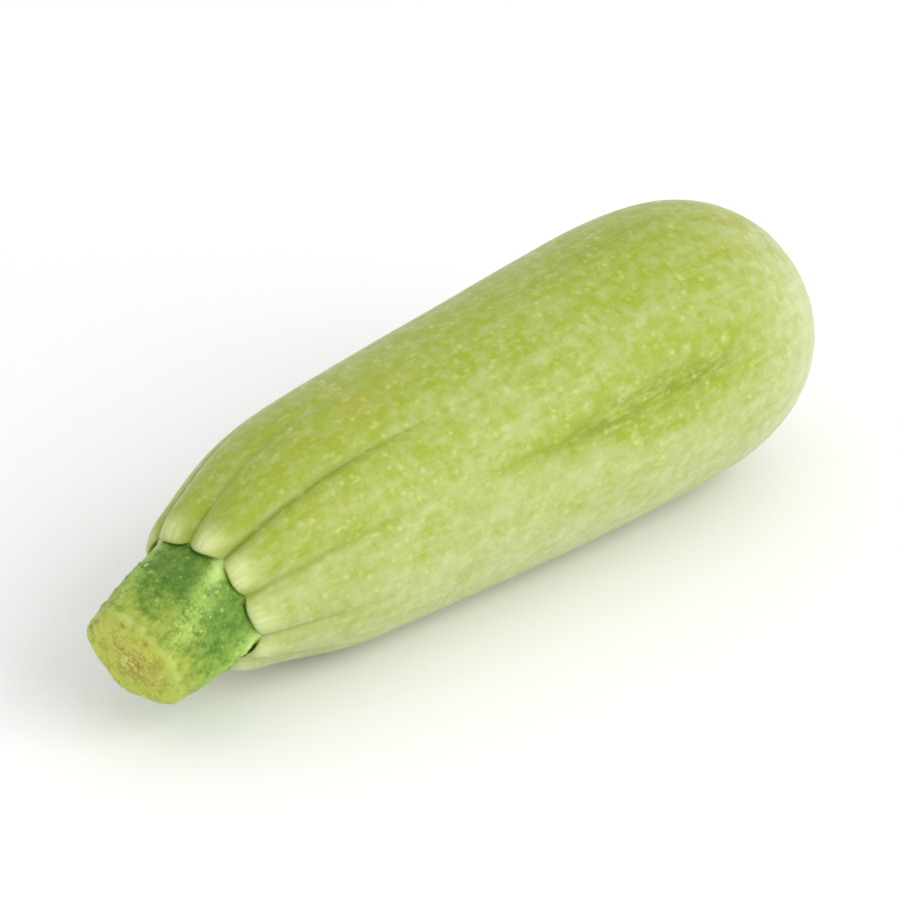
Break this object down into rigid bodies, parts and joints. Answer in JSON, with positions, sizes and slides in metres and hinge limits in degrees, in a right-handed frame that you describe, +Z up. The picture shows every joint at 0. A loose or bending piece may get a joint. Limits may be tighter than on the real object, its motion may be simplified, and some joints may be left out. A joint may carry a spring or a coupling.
{
  "type": "zucchini",
  "caption": "Pale-green zucchini lying on its side, with a furrowed neck, a cut and ribbed stem stub and a corky blossom scar.",
  "frame": {"origin": "on the surface that the fruit rests on, under the middle of its length and width", "axes": "+X from the stem towards the blossom end, +Z up, +Y to the left of someone who looks from the stem to the blossom end"},
  "size_m": [0.1564, 0.05, 0.0505],
  "materials": {
    "fruit": "satin",
    "stem": "matte"
  },
  "bodies": {
    "root": {"fruit": "fruit", "stem": "stem"}
  },
  "joints": []
}
